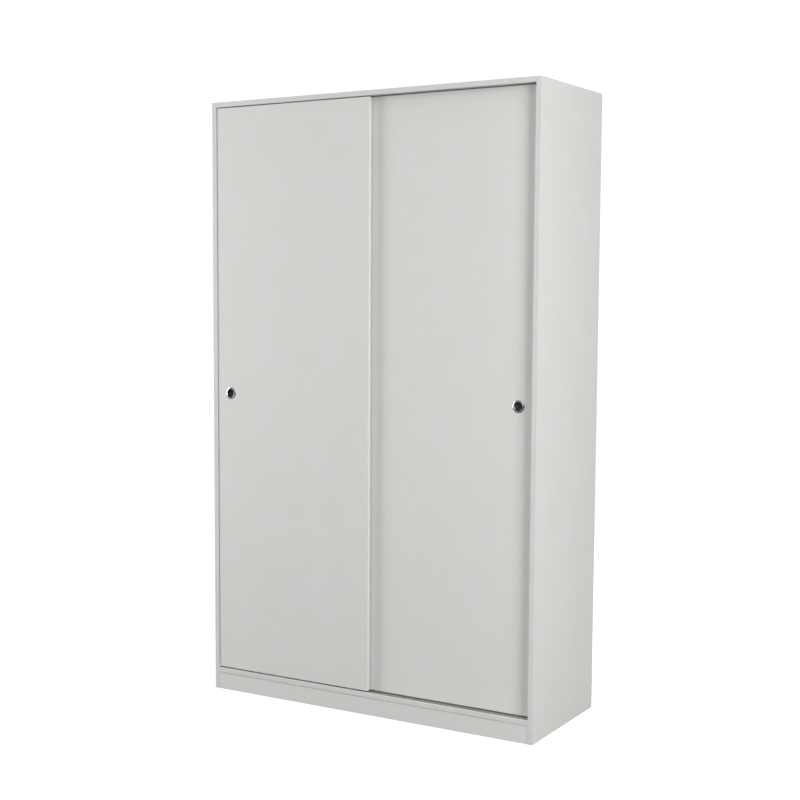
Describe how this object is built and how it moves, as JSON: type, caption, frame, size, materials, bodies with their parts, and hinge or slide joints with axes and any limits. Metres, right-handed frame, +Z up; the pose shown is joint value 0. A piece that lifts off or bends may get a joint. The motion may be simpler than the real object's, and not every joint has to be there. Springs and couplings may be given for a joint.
{
  "type": "sliding door wardrobe",
  "caption": "Free-standing wardrobe of white boards on a plinth, with sliding doors that pass on rollers, round finger pulls, a hanging rail and shelves inside.",
  "frame": {"origin": "on the floor, at the middle of the footprint", "axes": "+Z up, -Y towards the person who opens the doors, +X to that person's right; the outer door is the left one"},
  "size_m": [1.19, 0.48, 2],
  "materials": {
    "white_melamine_board": "white melamine paper on particle board with edge banding, satin with a faint grain",
    "lacquered_hardboard": "thin hardboard, white lacquer on the inside, bare brown fibre on the back",
    "track_plastic": "extruded light grey plastic, satin",
    "lower_track_plastic": "extruded mid grey plastic, satin",
    "fitting_plastic": "moulded off-white plastic, fine matt texture",
    "roller_nylon": "natural nylon, slightly waxy",
    "polished_chrome": "bright chrome plating on a pressed cup",
    "chromed_tube": "chromed steel tube",
    "zinc_die_casting": "bare zinc die casting, satin grey",
    "nickel_plated_steel": "nickel-plated steel, satin"
  },
  "bodies": {
    "carcass": {"side_panel_left": "white_melamine_board", "side_panel_right": "white_melamine_board", "top_panel": "white_melamine_board", "bottom_panel": "white_melamine_board", "plinth_front": "white_melamine_board", "plinth_rear": "white_melamine_board", "plinth_centre": "white_melamine_board", "centre_partition": "white_melamine_board", "back_panel_left": "lacquered_hardboard", "back_panel_right": "lacquered_hardboard", "hat_shelf": "white_melamine_board", "fixed_shelf": "white_melamine_board", "adjustable_shelf_1": "white_melamine_board", "adjustable_shelf_2": "white_melamine_board", "adjustable_shelf_3": "white_melamine_board", "top_track": "track_plastic", "bottom_track": "lower_track_plastic", "hanging_rail": "chromed_tube", "rail_socket_left": "zinc_die_casting", "rail_socket_right": "zinc_die_casting", "shelf_pin_1": "nickel_plated_steel", "shelf_pin_2": "nickel_plated_steel", "shelf_pin_3": "nickel_plated_steel", "shelf_pin_4": "nickel_plated_steel", "shelf_pin_5": "nickel_plated_steel", "shelf_pin_6": "nickel_plated_steel", "shelf_pin_7": "nickel_plated_steel", "shelf_pin_8": "nickel_plated_steel", "shelf_pin_9": "nickel_plated_steel", "shelf_pin_10": "nickel_plated_steel", "shelf_pin_11": "nickel_plated_steel", "shelf_pin_12": "nickel_plated_steel", "wall_bracket_left": "nickel_plated_steel", "wall_bracket_right": "nickel_plated_steel", "cam_lock_1": "zinc_die_casting", "cam_lock_2": "zinc_die_casting", "cam_lock_3": "zinc_die_casting", "cam_lock_4": "zinc_die_casting"},
    "left_door": {"left_door_panel": "white_melamine_board", "left_door_finger_pull": "polished_chrome", "left_door_roller_housing_outer": "fitting_plastic", "left_door_roller_housing_inner": "fitting_plastic", "left_door_axle_outer": "nickel_plated_steel", "left_door_axle_inner": "nickel_plated_steel", "left_door_top_guide_outer": "fitting_plastic", "left_door_top_guide_inner": "fitting_plastic"},
    "right_door": {"right_door_panel": "white_melamine_board", "right_door_finger_pull": "polished_chrome", "right_door_roller_housing_outer": "fitting_plastic", "right_door_roller_housing_inner": "fitting_plastic", "right_door_axle_outer": "nickel_plated_steel", "right_door_axle_inner": "nickel_plated_steel", "right_door_top_guide_outer": "fitting_plastic", "right_door_top_guide_inner": "fitting_plastic"},
    "left_door_wheel_outer": {"left_door_wheel_outer": "roller_nylon"},
    "left_door_wheel_inner": {"left_door_wheel_inner": "roller_nylon"},
    "right_door_wheel_outer": {"right_door_wheel_outer": "roller_nylon"},
    "right_door_wheel_inner": {"right_door_wheel_inner": "roller_nylon"}
  },
  "joints": [
    {"name": "left_door_slide", "type": "slide", "parent": "carcass", "child": "left_door", "axis": [1, 0, 0], "range_m": [0, 0.564]},
    {"name": "right_door_slide", "type": "slide", "parent": "carcass", "child": "right_door", "axis": [-1, 0, 0], "range_m": [0, 0.564]},
    {"name": "left_door_wheel_outer_spin", "type": "hinge", "parent": "left_door", "child": "left_door_wheel_outer", "pos_m": [-0.507, -0.229, 0.0862], "axis": [0, 1, 0], "range_deg": [-10, 3600]},
    {"name": "left_door_wheel_inner_spin", "type": "hinge", "parent": "left_door", "child": "left_door_wheel_inner", "pos_m": [-0.057, -0.229, 0.0862], "axis": [0, 1, 0], "range_deg": [-10, 3600]},
    {"name": "right_door_wheel_outer_spin", "type": "hinge", "parent": "right_door", "child": "right_door_wheel_outer", "pos_m": [0.507, -0.208, 0.0862], "axis": [0, -1, 0], "range_deg": [-10, 3600]},
    {"name": "right_door_wheel_inner_spin", "type": "hinge", "parent": "right_door", "child": "right_door_wheel_inner", "pos_m": [0.057, -0.208, 0.0862], "axis": [0, -1, 0], "range_deg": [-10, 3600]}
  ],
  "couplings": [
    {"joint": "left_door_wheel_outer_spin", "follows": "left_door_slide", "rad_per_m": 108.7},
    {"joint": "left_door_wheel_inner_spin", "follows": "left_door_slide", "rad_per_m": 108.7},
    {"joint": "right_door_wheel_outer_spin", "follows": "right_door_slide", "rad_per_m": 108.7},
    {"joint": "right_door_wheel_inner_spin", "follows": "right_door_slide", "rad_per_m": 108.7}
  ]
}
